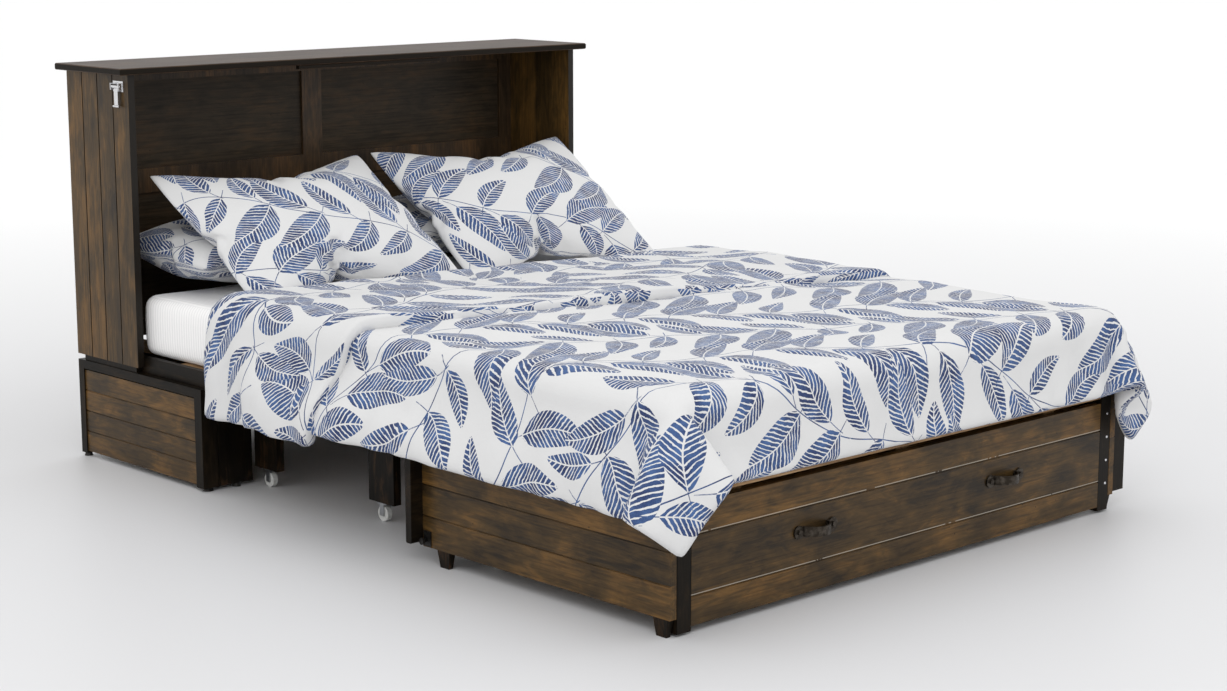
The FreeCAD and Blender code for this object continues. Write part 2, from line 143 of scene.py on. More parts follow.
def wood(name, dark, middle, light, grain, plank=None, gloss=0.36, contrast=1.0, gleam=0.22,
         glint_heights=(), broad=None):
    """Stained hardwood. plank is (axis, first edge, pitch) where boards lie side by side.
    Heights of groove edges may be given, where a broken pale line is painted on as a painted highlight.
    broad is the axis that the broad faces look along; the other faces are painted nearly black, as painted
    shade."""
    made, g, shader = material(name, Specular_IOR_Level=gleam)
    point = g.add("ShaderNodeTexCoord").outputs["Object"]
    tone = 0.0
    if plank:
        axis, first, pitch = plank
        split = g.add("ShaderNodeSeparateXYZ", Vector=point).outputs[axis]
        row = g.math("FLOOR", g.math("DIVIDE", g.math("SUBTRACT", split, first), pitch))
        draw = g.add("ShaderNodeTexWhiteNoise", {"noise_dimensions": "1D"}, W=row)
        shift = g.vector("SCALE", draw.outputs["Color"])
        shift.node.inputs["Scale"].default_value = 7.0
        point = g.vector("ADD", point, shift)
        tone = g.math("MULTIPLY", g.math("SUBTRACT", draw.outputs["Value"], 0.5), 0.16)
    along = g.scaled(point, GRAIN_STRETCH[grain])
    figure = g.noise(along, 9.0, 6.0, 0.62, 1.2)
    pores = g.noise(g.scaled(along, FINE_GRAIN[grain]), 26.0, 3.0, 0.6)
    cloud_stretch = tuple(1 + (k - 1) * 0.2 for k in GRAIN_STRETCH[grain])
    cloud = g.noise(g.scaled(point, cloud_stretch), 5.0, 4.0, 0.6, 0.5)
    fac = g.math("ADD", g.math("MULTIPLY", figure, 0.5), g.math("MULTIPLY", cloud, 0.62))
    fac = g.math("ADD", g.math("MULTIPLY", g.math("SUBTRACT", fac, 0.56), contrast * 1.35), 0.5)
    fac = g.math("ADD", fac, tone)
    colour = g.ramp(fac, [(0.27, dark), (0.50, middle), (0.74, light)])
    pore_mask = g.ramp(pores, [(0.36, (0.50, 0.47, 0.44)), (0.55, (1, 1, 1))])
    colour = g.mix(0.7, colour, pore_mask, "MULTIPLY")
    knocks = g.add("ShaderNodeTexVoronoi", Vector=point, Scale=34.0, Randomness=1.0).outputs["Distance"]
    chosen = g.math("GREATER_THAN", g.noise(point, 13.0, 1.0), 0.56)
    speck = g.math("MULTIPLY", g.math("LESS_THAN", knocks, 0.07), chosen)
    colour = g.mix(g.math("MULTIPLY", speck, 0.7), colour, tuple(c * 0.3 for c in dark))
    # painted highlight: a pale glint line, broken by noise, along each given groove edge
    for height in glint_heights:
        z = g.add("ShaderNodeSeparateXYZ", Vector=g.add("ShaderNodeTexCoord").outputs["Object"]).outputs[2]
        line = g.math("LESS_THAN", g.math("ABSOLUTE", g.math("SUBTRACT", z, height)), PAINTED_GLINT_HALF)
        glint_breaks = g.math("GREATER_THAN", g.noise(g.scaled(point, (1.0, 0.0, 0.0)), 9.0, 4.0, 0.7), 0.42)
        colour = g.mix(g.math("MULTIPLY", g.math("MULTIPLY", line, glint_breaks), 0.4), colour, PAINTED_GLINT)
    # painted shade: faces that don't look along the broad axis are made nearly black
    if broad:
        normal = g.add("ShaderNodeTexCoord").outputs["Normal"]
        facing = g.math("ABSOLUTE", g.add("ShaderNodeSeparateXYZ", Vector=normal).outputs[broad])
        colour = g.mix(g.math("LESS_THAN", facing, 0.5), colour, UMBER["middle"])
    g.feed(shader.inputs["Base Color"], colour)
    rough = g.math("ADD", g.math("MULTIPLY", pores, 0.22), gloss - 0.08)
    g.feed(shader.inputs["Roughness"], rough)
    height = g.math("ADD", g.math("MULTIPLY", pores, 0.6), g.math("MULTIPLY", figure, 0.4))
    g.feed(shader.inputs["Normal"], g.bump(height, 0.0012, 0.35))
    return made


WALNUT = dict(dark=srgb(40, 31, 19), middle=srgb(73, 55, 29), light=srgb(112, 81, 40))
UMBER = dict(dark=srgb(14, 12, 9), middle=srgb(25, 20, 14), light=srgb(46, 35, 22))
BACK = dict(dark=srgb(38, 33, 27), middle=srgb(57, 48, 37), light=srgb(82, 62, 42))
FRAME = dict(dark=srgb(38, 30, 22), middle=srgb(62, 48, 33), light=srgb(94, 68, 42))
TOP = dict(dark=srgb(44, 34, 26), middle=srgb(68, 53, 41), light=srgb(92, 73, 57))
BARE = dict(dark=srgb(120, 92, 62), middle=srgb(164, 130, 92), light=srgb(190, 158, 118))


def low_edge(name, axis):
    """Where the node's first plank starts."""
    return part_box(name)[0][axis]


# axis across the planks, where the first one starts, and the pitch
PLANK = {
    "upper": ("Y", low_edge("upper_side_left", 1), 0.07625),
    "base": ("Z", low_edge("base_side_left", 2), 0.0575),
    "tray": ("Z", low_edge("tray_side_left", 2), 0.0745),
    "drawer": ("Z", -0.052, 0.1333),
}
DRAWER_GROOVES = (0.0848, 0.2168)  # heights of the drawer front's two grooves
wood_upper = wood("wood_upper_planks", grain="Z", plank=PLANK["upper"], broad="X", **WALNUT)
wood_base = wood("wood_base_planks", grain="Y", plank=PLANK["base"], **WALNUT)
wood_tray = wood("wood_tray_planks", grain="Y", plank=PLANK["tray"], **WALNUT)
wood_drawer = wood("wood_drawer_planks", grain="X", plank=PLANK["drawer"], gloss=0.32,
                   glint_heights=DRAWER_GROOVES, **WALNUT)
wood_top = wood("wood_top", grain="X", gloss=0.40, contrast=0.7, gleam=0.08, broad="Z", **TOP)
wood_back = wood("wood_back", grain="X", gloss=0.34, contrast=0.8, gleam=0.12, **BACK)
wood_stile = wood("wood_back_frame", grain="Z", gloss=0.34, **FRAME)
wood_post = wood("wood_posts", grain="Z", gleam=0.1, **UMBER)
wood_rail = wood("wood_rails", grain="Y", gleam=0.1, **UMBER)
wood_end = wood("wood_end_board", grain="X", gleam=0.1, **UMBER)
wood_leg = wood("wood_legs", grain="Z", gleam=0.1, **dict(UMBER, light=srgb(84, 60, 38)))
wood_bare_y = wood("wood_slats", grain="Y", gloss=0.5, **BARE)
wood_bare_x = wood("wood_crossbars", grain="X", gloss=0.5, **BARE)


# ------------------------------------------------------------------ metal and plastic
def metal(name, colour, rough, worn=0.0, metallic=1.0):
    """Metal with brighter spots; worn is how much brighter they are."""
    made, g, shader = material(name, Metallic=metallic)
    point = g.add("ShaderNodeTexCoord").outputs["Object"]
    spots = g.noise(point, 90.0, 4.0, 0.6)
    bright = tuple(min(1, c * (1 + worn) + 0.02 * worn) for c in colour)
    g.feed(shader.inputs["Base Color"], g.ramp(spots, [(0.42, colour), (0.68, bright)]))
    g.feed(shader.inputs["Roughness"], g.math("ADD", g.math("MULTIPLY", spots, 0.25), rough - 0.12))
    g.feed(shader.inputs["Normal"], g.bump(spots, 0.0004, 0.25))
    return made


bronze = metal("metal_bronze", srgb(46, 40, 33), 0.38, 1.2, 0.85)
chrome = metal("metal_chrome", srgb(208, 208, 210), 0.16, 0.1)
steel = metal("metal_zinc", srgb(160, 162, 165), 0.34, 0.2)
iron = metal("metal_black", srgb(30, 28, 26), 0.42, 0.8, 0.7)


def plastic(name, colour, rough):
    made, g, shader = material(name)
    point = g.add("ShaderNodeTexCoord").outputs["Object"]
    scuffs = g.noise(point, 140.0, 3.0)
    dull = tuple(c * 0.9 for c in colour)
    g.feed(shader.inputs["Base Color"], g.ramp(scuffs, [(0.3, dull), (0.7, colour)]))
    g.feed(shader.inputs["Roughness"], g.math("ADD", g.math("MULTIPLY", scuffs, 0.2), rough))
    return made


wheel_plastic = plastic("plastic_wheel", srgb(214, 214, 210), 0.2)

# ------------------------------------------------------------------ the leaf print
TILE = 0.53                        # the print repeats at this distance both ways
BLUE_DARK = srgb(20, 42, 90)
BLUE_LIGHT = srgb(64, 98, 150)
COTTON = srgb(219, 219, 219)
PRINT_TURN = math.radians(24)      # the print runs across the cloth at this angle
# one entry a stem: its place across the tile, direction of growth, phase of its wave
STEMS = [(0.08, 1, 0.0), (0.345, -1, 2.1)]
STEM_SWING = 0.021
STEM_LEAVES = 8                    # each stem's leaves take turns left and right
LEAF_HALF = (0.070, 0.105)         # least and greatest half length
LEAF_SHAPE = (0.38, 0.49)          # half width as a share of half length
STALK = 0.011                      # gap between a stem and the foot of its leaf
STEM_HALF = 0.0014                 # half widths of the stems, the leaves' stalks and bare midribs
STALK_HALF = 0.0012
MIDRIB_HALF = 0.0016
STROKES = 76.0                     # brush strokes a metre along a leaf


def stem_wave(x, phase):
    return STEM_SWING * math.sin(x * math.tau / TILE + phase)


def print_leaves():
    """Each printed leaf: centre, direction, half length and half width."""
    draw = np.random.default_rng(7)
    for across, growth, phase in STEMS:
        for k in range(STEM_LEAVES):
            side = 1 if k % 2 else -1
            x = TILE * (k + draw.uniform(-0.14, 0.14)) / STEM_LEAVES
            half_length = draw.uniform(*LEAF_HALF)
            turn = side * math.radians(draw.uniform(38, 66))
            angle = turn if growth > 0 else math.pi - turn
            way = Vector((math.cos(angle), math.sin(angle)))
            node = Vector((x, across + stem_wave(x, phase)))
            half_width = half_length * draw.uniform(*LEAF_SHAPE)
            yield node + way * (STALK + half_length), way, half_length, half_width


def printed_stems(g, point):
    """Thin waving lines that the leaves grow from."""
    split = g.add("ShaderNodeSeparateXYZ", Vector=point)
    ink = None
    for across, _, phase in STEMS:
        turn = g.math("ADD", g.math("MULTIPLY", split.outputs[0], math.tau / TILE), phase)
        line = g.math("SUBTRACT", split.outputs[1], g.math("MULTIPLY", g.math("SINE", turn), STEM_SWING))
        off = g.math("ABSOLUTE", g.math("WRAP", g.math("SUBTRACT", line, across), TILE / 2, -TILE / 2))
        stem = g.math("LESS_THAN", off, STEM_HALF)
        ink = g.math("MAXIMUM", ink, stem) if ink else stem
    return ink


def wrapped(g, given):
    """The point seen from a centre, in the repeat of the tile nearest to it."""
    half = TILE / 2
    offset = g.vector("SUBTRACT", given["Point"], given["Centre"])
    return g.vector("WRAP", offset, (half, half, half), (-half, -half, -half))


def leaf_group():
    """One printed leaf: a pointed oval of brush strokes on both sides of a bare midrib."""
    tree = bpy.data.node_groups.new("printed_leaf", "ShaderNodeTree")
    for name in ("Point", "Centre", "Along", "Across"):
        tree.interface.new_socket(name, in_out="INPUT", socket_type="NodeSocketVector")
    for name in ("Half Length", "Half Width", "Wobble", "Ink"):
        tree.interface.new_socket(name, in_out="INPUT", socket_type="NodeSocketFloat")
    tree.interface.new_socket("Ink", in_out="OUTPUT", socket_type="NodeSocketFloat")
    g = Graph(tree)
    given = tree.nodes.new("NodeGroupInput").outputs
    local = wrapped(g, given)
    x = g.vector("DOT_PRODUCT", local, given["Along"])
    y = g.vector("DOT_PRODUCT", local, given["Across"])
    y = g.math("ADD", y, g.math("MULTIPLY", g.math("MULTIPLY", x, x), 2.0))
    u = g.math("DIVIDE", x, given["Half Length"])
    side = g.math("ABSOLUTE", y)
    oval = g.math("POWER", g.math("MAXIMUM", g.math("SUBTRACT", 1.0, g.math("MULTIPLY", u, u)), 0.0), 0.72)
    lean = g.math("SUBTRACT", 1.0, g.math("MULTIPLY", u, 0.30))
    outline = g.math("MULTIPLY", g.math("MULTIPLY", oval, lean), given["Half Width"])
    ragged = g.math("ADD", outline, g.math("MULTIPLY", given["Wobble"], 0.004))
    inside = g.math("LESS_THAN", side, ragged)
    swept = g.math("SUBTRACT", x, g.math("MULTIPLY", side, 0.85))
    strokes = g.math("ADD", g.math("MULTIPLY", swept, STROKES),
                     g.math("MULTIPLY", given["Wobble"], 1.3))
    gap = g.math("ADD", g.math("MULTIPLY", given["Wobble"], 0.6), 0.30)
    stroke = g.math("GREATER_THAN", g.math("FRACT", strokes), gap)
    rib = g.math("GREATER_THAN", side, MIDRIB_HALF)
    ink = g.math("MULTIPLY", g.math("MULTIPLY", inside, stroke), rib)
    stalk = g.math("MULTIPLY", g.math("LESS_THAN", side, STALK_HALF),
                   g.math("COMPARE", u, -1.22, 0.24))
    behind = g.math("MULTIPLY", g.math("MAXIMUM", given["Ink"], stalk), g.math("SUBTRACT", 1.0, inside))
    result = tree.nodes.new("NodeGroupOutput")
    tree.links.new(g.math("MAXIMUM", behind, ink), result.inputs[0])
    return tree


THREADS = 5200.0                   # the weave, in radians a metre


def printed_cotton(name, leaf):
    """White cotton with the leaf print on its flat coordinates."""
    made, g, shader = material(name, Sheen_Weight=0.1, Sheen_Roughness=0.5, Specular_IOR_Level=0.15)
    flat = g.add("ShaderNodeUVMap", {"uv_map": "cloth"}).outputs["UV"]
    turned = g.add("ShaderNodeVectorRotate", {"rotation_type": "Z_AXIS"}, Vector=flat, Angle=PRINT_TURN)
    point = turned.outputs["Vector"]
    split = g.add("ShaderNodeSeparateXYZ", Vector=flat)
    wobble = g.math("SUBTRACT", g.noise(point, 38.0, 3.0, 0.6), 0.5)
    ink = printed_stems(g, point)
    for centre, way, half_length, half_width in print_leaves():
        ink = g.add("ShaderNodeGroup", {"node_tree": leaf}, Point=point, Centre=(*centre, 0),
                    Along=(*way, 0), Across=(-way.y, way.x, 0), Half_Length=half_length,
                    Half_Width=half_width, Wobble=wobble, Ink=ink).outputs[0]
    wash = g.noise(point, 16.0, 4.0, 0.65)
    blue = g.ramp(wash, [(0.38, BLUE_DARK), (0.66, BLUE_LIGHT)])
    dust = g.noise(point, 900.0, 2.0)
    ground = g.ramp(dust, [(0.3, tuple(c * 0.94 for c in COTTON)), (0.7, COTTON)])
    coverage = g.math("MULTIPLY", ink, g.math("ADD", g.math("MULTIPLY", dust, 0.3), 0.82), clamp=True)
    g.feed(shader.inputs["Base Color"], g.mix(coverage, ground, blue))
    shader.inputs["Roughness"].default_value = 0.85
    weave = g.math("ADD", g.math("SINE", g.math("MULTIPLY", split.outputs[0], THREADS)),
                   g.math("SINE", g.math("MULTIPLY", split.outputs[1], THREADS)))
    crinkle = g.noise(point, 26.0, 5.0, 0.6)
    height = g.math("ADD", g.math("MULTIPLY", weave, 0.02), crinkle)
    g.feed(shader.inputs["Normal"], g.bump(height, 0.006, 0.35))
    return made


cotton_print = printed_cotton("fabric_leaf_print", leaf_group())


def ribbed_sheet():
    """White sheet with a fine upright rib, drawn by distance round the mattress."""
    made, g, shader = material("fabric_ribbed_sheet", Sheen_Weight=0.3, Specular_IOR_Level=0.25)
    point = g.add("ShaderNodeUVMap", {"uv_map": "cloth"}).outputs["UV"]
    across = g.add("ShaderNodeSeparateXYZ", Vector=point).outputs[0]
    drift = g.math("MULTIPLY", g.noise(point, 5.0), 6.0)
    rib = g.math("SINE", g.math("ADD", g.math("MULTIPLY", across, 560.0), drift))
    crest = g.math("MULTIPLY_ADD", rib, 0.5, 0.5)
    tint = g.ramp(crest, [(0.1, srgb(236, 235, 234)), (0.7, srgb(249, 248, 247))])
    g.feed(shader.inputs["Base Color"], tint)
    shader.inputs["Roughness"].default_value = 0.9
    soft = g.math("ADD", g.math("MULTIPLY", rib, 0.5), g.math("MULTIPLY", g.noise(point, 9.0, 4.0), 2.0))
    g.feed(shader.inputs["Normal"], g.bump(soft, 0.002, 0.35))
    return made


sheet_cloth = ribbed_sheet()

# the material of each CAD node that stays in view
FINISH = {
    wood_top: ["top_board", "top_pull_strip"],
    wood_upper: ["upper_side_left", "upper_side_right"],
    wood_base: ["base_side_left", "base_side_right"],
    wood_tray: ["tray_side_left", "tray_side_right"],
    wood_drawer: ["drawer_front"],
    wood_back: ["back_panels", "base_back"],
    wood_stile: ["back_frame"],
    wood_post: ["base_posts", "foot_posts", "tray_stile_right", "upper_spacers"],
    wood_rail: ["base_top_rails", "head_deck_rails"],
    wood_end: ["tray_end_board", "head_crossbars", "stage_a_crossbar", "stage_b_crossbar"],
    wood_leg: ["stage_a_legs", "stage_b_legs", "base_pedestals", "tray_feet"],
    wood_bare_y: ["head_slats", "stage_a_slats", "stage_b_slats", "drawer_sides", "carcass_sides",
                  "tray_battens"],
    wood_bare_x: ["tray_deck", "drawer_back", "drawer_bottom", "carcass_back", "carcass_rails"],
    bronze: ["handle_left", "handle_right"],
    chrome: ["latch_plates", "latch_arm_left", "latch_arm_right"],
    steel: ["drawer_runners_outer", "drawer_runners_inner", "tray_pivot_pins", "stage_a_forks",
            "stage_b_forks", "foot_forks"],
    iron: ["tray_catches", "base_glides"],
    wheel_plastic: ["stage_a_wheels", "stage_b_wheels", "foot_wheels_rear", "foot_wheels_front"],
}
for finish, names in FINISH.items():
    for node_name in names:
        mesh = nodes[node_name].data
        mesh.materials.clear()
        mesh.materials.append(finish)


# ------------------------------------------------------------------ mesh helpers
def new_object(name, verts, faces, uvs=None, finish=None):
    """A mesh object; uvs gives one place on the flat cloth for each vertex, in metres."""
    mesh = bpy.data.meshes.new(name)
    mesh.from_pydata([tuple(v) for v in verts], [], faces)
    mesh.update()
    if uvs is not None:
        layer = mesh.uv_layers.new(name="cloth")
        picks = np.zeros(len(mesh.loops), np.int32)
        mesh.loops.foreach_get("vertex_index", picks)
        layer.data.foreach_set("uv", np.asarray(uvs, np.float32)[picks].ravel())
    made = bpy.data.objects.new(name, mesh)
    scene.collection.objects.link(made)
    if finish:
        mesh.materials.append(finish)
    return made


def grid_faces(columns, rows, first=0, flip=False):
    faces = []
    for r in range(rows - 1):
        for c in range(columns - 1):
            a = first + r * columns + c
            ring = (a, a + 1, a + 1 + columns, a + columns)
            faces.append(ring[::-1] if flip else ring)
    return faces


def places(obj):
    co = np.zeros(len(obj.data.vertices) * 3)
    obj.data.vertices.foreach_get("co", co)
    return co.reshape(-1, 3)


def set_places(obj, co):
    obj.data.vertices.foreach_set("co", np.asarray(co, float).ravel())
    obj.data.update()


def bake_modifiers(obj):
    """Leaves the evaluated mesh on the object, with no modifier."""
    depsgraph = bpy.context.evaluated_depsgraph_get()
    final = bpy.data.meshes.new_from_object(obj.evaluated_get(depsgraph), preserve_all_data_layers=True,
                                            depsgraph=depsgraph)
    obj.modifiers.clear()
    obj.data = final


def smooth(obj):
    obj.data.polygons.foreach_set("use_smooth", [True] * len(obj.data.polygons))


def ripple(co, scale, size, seed):
    """Soft random offsets, the same on every run."""
    out = np.zeros(len(co))
    shift = Vector((seed * 3.1, seed * 1.7, seed * 5.3))
    for k, p in enumerate(co):
        out[k] = noise.noise(Vector(p) * scale + shift)
    return out * size


# ------------------------------------------------------------------ cloth simulation
def simulate(obj, frames, gravity=1.0, pressure=0.0, bending=2.0, tension=20.0, gap=0.004, pins=""):
    """Runs Blender's cloth on the object for some frames and leaves the result as its mesh."""
    cloth = obj.modifiers.new("cloth", "CLOTH")
    s = cloth.settings
    s.quality = 6
    s.mass = 0.35
    s.tension_stiffness = s.compression_stiffness = tension
    s.shear_stiffness = tension / 2
    s.bending_stiffness = bending
    s.air_damping = 2.0
    s.effector_weights.gravity = gravity
    s.vertex_group_mass = pins
    if pressure:
        s.use_pressure = True
        s.uniform_pressure_force = pressure
    cloth.collision_settings.use_collision = not pressure
    cloth.collision_settings.distance_min = gap
    cloth.point_cache.frame_start = 1
    cloth.point_cache.frame_end = frames + 1
    for number in range(1, frames + 1):
        scene.frame_set(number)
    bake_modifiers(obj)
    scene.frame_set(1)


def make_solid_for_cloth(obj, friction=30.0, outer=0.006):
    obj.modifiers.new("collision", "COLLISION")
    obj.collision.thickness_outer = outer
    obj.collision.cloth_friction = friction


def block_verts(x0, x1, y0, y1, z0, z1):
    return [(x, y, z) for z in (z0, z1) for y in (y0, y1) for x in (x0, x1)]


BLOCK_FACES = [(0, 2, 3, 1), (4, 5, 7, 6), (0, 1, 5, 4), (2, 6, 7, 3), (0, 4, 6, 2), (1, 3, 7, 5)]

# ------------------------------------------------------------------ mattress
mattress_low, mattress_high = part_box("mattress")


def rounded_block(name, low, high, radius, steps, finish):
    """A foam block: rounded edges, cloth coordinates that run round its sides.
    steps is the number of cuts along x, y and z."""
    mesh = bmesh.new()
    bmesh.ops.create_cube(mesh, size=1.0)
    size = high - low
    middle = (low + high) / 2
    for v in mesh.verts:
        v.co = Vector((v.co.x * size.x, v.co.y * size.y, v.co.z * size.z)) + middle
    bmesh.ops.bevel(mesh, geom=mesh.edges[:], offset=radius, segments=5, profile=0.5, affect="EDGES")
    for axis, count in enumerate(steps):
        for k in range(1, count):
            plane = low.copy()
            plane[axis] = low[axis] + size[axis] * k / count
            normal = Vector((0, 0, 0))
            normal[axis] = 1
            bmesh.ops.bisect_plane(mesh, geom=mesh.verts[:] + mesh.edges[:] + mesh.faces[:],
                                   plane_co=plane, plane_no=normal)
    data = bpy.data.meshes.new(name)
    mesh.to_mesh(data)
    mesh.free()
    layer = data.uv_layers.new(name="cloth")
    for face in data.polygons:
        for loop in face.loop_indices:
            co = data.vertices[data.loops[loop].vertex_index].co
            run = co.y if abs(face.normal.x) > 0.5 else co.x
            layer.data[loop].uv = (run, co.z if abs(face.normal.z) < 0.7 else co.y)
    made = bpy.data.objects.new(name, data)
    scene.collection.objects.link(made)
    data.materials.append(finish)
    smooth(made)
    return made


sheet_piece = rounded_block("fitted_sheet_mattress", mattress_low, mattress_high, 0.030, (24, 34, 3),
                            sheet_cloth)
co = places(sheet_piece)
puff = ripple(co, 7.0, 0.004, 2)
centre_z = (mattress_low.z + mattress_high.z) / 2
bulge = 0.006 * np.cos((co[:, 2] - centre_z) / (mattress_high.z - mattress_low.z) * math.pi)
co[:, 0] += np.sign(co[:, 0]) * (bulge - 0.004) + puff * 0.5
co[:, 2] = np.where(co[:, 2] > mattress_high.z - 0.01, co[:, 2] + puff, co[:, 2])
set_places(sheet_piece, co)
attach(sheet_piece, "bedding")
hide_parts("mattress")
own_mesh(sheet_piece)

# ------------------------------------------------------------------ pillows
SHAM = (0.81, 0.62)
PILLOW = (0.68, 0.46)
PILLOW_PRESSURE = 5.0
PLUMP = 0.17                   # a filled pillow's thickness
PILLOW_SPACING = 0.018
SIDE_BULGE = 0.06              # the cut sides bow out, so that they pull in straight when filled


def pillow_mesh(name, size, seed):
    """Two square cloths sewn at the rim, blown up from flat; the rim keeps its corners."""
    columns = int(size[0] / PILLOW_SPACING) + 1
    rows = int(size[1] / PILLOW_SPACING) + 1
    xs = np.linspace(-size[0] / 2, size[0] / 2, columns)
    ys = np.linspace(-size[1] / 2, size[1] / 2, rows)
    top = [(x, y) for y in ys for x in xs]
    verts, uvs, back_of = [], [], {}
    for k, (x, y) in enumerate(top):
        rim = min(size[0] / 2 - abs(x), size[1] / 2 - abs(y))
        lift = 0.012 * min(1, rim / 0.06)
        wide = 1 + SIDE_BULGE * (1 - (2 * y / size[1]) ** 2)
        deep = 1 + SIDE_BULGE * (1 - (2 * x / size[0]) ** 2)
        verts.append((x * wide, y * deep, lift))
        uvs.append((x + seed * 0.37, y + seed * 0.23))
        if rim < 1e-6:
            back_of[k] = k
    for k, (x, y) in enumerate(top):
        if k not in back_of:
            back_of[k] = len(verts)
            verts.append((x, y, -verts[k][2]))
            uvs.append((x + seed * 0.37 + 0.31, y + seed * 0.23 + 0.17))
    faces = grid_faces(columns, rows)
    faces += [tuple(back_of[i] for i in ring[::-1]) for ring in grid_faces(columns, rows)]
    made = new_object(name, verts, faces, uvs, cotton_print)
    simulate(made, 26, gravity=0.0, pressure=PILLOW_PRESSURE, bending=0.6, tension=14.0)
    co = places(made)
    co[:, 2] *= PLUMP / max(0.05, np.ptp(co[:, 2]))
    wrinkle = ripple(co, 9.0, 0.006, seed)
    co[:, 2] += wrinkle * np.sign(co[:, 2])
    set_places(made, co)
    return made


def place_pillow(piece, centre, lean, yaw, thick):
    """Leans the pillow about its long axis and sets it down at a centre point."""
    co = places(piece)
    co[:, 2] *= thick
    turn = Matrix.Rotation(yaw, 3, "Z") @ Matrix.Rotation(lean, 3, "X")
    co = co @ np.array(turn).T + np.array(centre)
    set_places(piece, co)
    mod = piece.modifiers.new("finer", "SUBSURF")
    mod.levels = mod.render_levels = 1
    bake_modifiers(piece)
    smooth(piece)
    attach(piece, "bedding")


wall_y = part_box("top_board")[1].y


def wall(y):
    """A depth measured from the wall plane, in the row frame."""
    return wall_y + y


LEAN = math.radians(33)
# name, CAD node, flat size, seed, centre, lean, yaw, thickness
PILLOWS = (
    ("sham_cushion_left", "sham_left", SHAM, 1, (-0.345, wall(-0.490), 0.640), LEAN, 0.02, 0.95),
    ("sham_cushion_right", "sham_right", SHAM, 2, (0.395, wall(-0.490), 0.640), LEAN + 0.03, -0.03, 0.95),
    ("bed_pillow_left", "pillow_left", PILLOW, 3, (-0.385, wall(-0.275), 0.580), 0.05, 0.03, 1.05),
    ("bed_pillow_right", "pillow_right", PILLOW, 4, (0.375, wall(-0.275), 0.580), 0.04, -0.02, 1.05),
)
for name, node, size, seed, centre, lean, yaw, thick in PILLOWS:
    cushion = pillow_mesh(name, size, seed)
    place_pillow(cushion, centre, lean, yaw, thick)
    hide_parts(node)

# ------------------------------------------------------------------ duvet
DUVET_SPACING = 0.024          # between the points of its cloth
DUVET_HALF = 1.020             # half of the flat width
TURN_HALF = 1.045              # the part that is turned back hangs a little lower
FOOT_EDGE = wall(-2.503)
TURN_ROWS = 28                 # rows of points in the turned-back part
TURN_LIFT = 0.036              # how far above the single part it starts to fall
ROLL_STEP = 0.012              # print length between the rows of the rounded fold
THICKER_ROWS = 3               # the filling swells over the last rows at the free edge
FILLING = 0.046                # thickness of the filled cloth at its puffed free edge
THIN = 0.62                    # share of it everywhere else
TOP_Z = mattress_high.z


def head_line(x):
    """Where the duvet is folded: not quite square to the bed."""
    return wall(-0.80) - 0.13 * x


def free_line(x):
    """Where the edge of the turned-back part lies."""
    return wall(-1.42) - 0.22 * x


HELD_Y = wall(-0.72)           # the duvet stays here when it shortens as the foot unit rolls in
DUVET_KEPT = 0.65              # share of its length that it keeps
ROLL = 0.584                   # travel of the foot unit


TRAY_HALF = 0.792              # out to the faces of the tray's sides, with 2 mm to spare


def support_boxes():
    """What the duvet falls on: the mattress, the foot platform with its end board and upright, the base.
    The board is as deep as its way under the duvet, so that it passes below it when the unit rolls in."""
    tray, board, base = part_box("tray_deck"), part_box("tray_end_board"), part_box("base_top_rails")
    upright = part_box("tray_stile_right")
    rolled_in = HELD_Y - (HELD_Y - board[1].y - ROLL) / DUVET_KEPT + 0.015
    boxes = [
        (mattress_low.x - 0.004, mattress_high.x + 0.004, mattress_low.y - 0.002, mattress_high.y, TOP_Z),
        (-TRAY_HALF, TRAY_HALF, tray[0].y, tray[1].y, tray[1].z),
        (board[0].x - 0.006, board[1].x + 0.006, board[0].y, rolled_in, tray[1].z),
        (upright[0].x, upright[1].x + 0.006, upright[0].y - 0.008, upright[1].y + 0.05, upright[1].z),
        (base[0].x, base[1].x, base[0].y, base[1].y, tray[1].z),
    ]
    verts, faces = [], []
    for x0, x1, y0, y1, top in boxes:
        faces += [tuple(i + len(verts) for i in ring) for ring in BLOCK_FACES]
        verts += block_verts(x0, x1, y0, y1, 0.05, top)
    return new_object("duvet_support", verts, faces)


def draped_body():
    """The single part of the duvet, dropped on the bed; gives its points as rows from head to foot."""
    columns = int(2 * DUVET_HALF / DUVET_SPACING) + 1
    rows = int((wall(-0.8) - FOOT_EDGE) / DUVET_SPACING) + 1
    xs = np.linspace(-DUVET_HALF, DUVET_HALF, columns)
    verts = []
    for share in np.linspace(0, 1, rows):
        verts += [(x, head_line(x) + (FOOT_EDGE - head_line(x)) * share, TOP_Z + 0.035) for x in xs]
    flat = np.array(verts).reshape(rows, columns, 3)
    body = new_object("duvet_drop", verts, grid_faces(columns, rows, flip=True))
    simulate(body, 46, bending=4.0, tension=26.0, gap=0.012)
    return body, flat, places(body).reshape(rows, columns, 3)


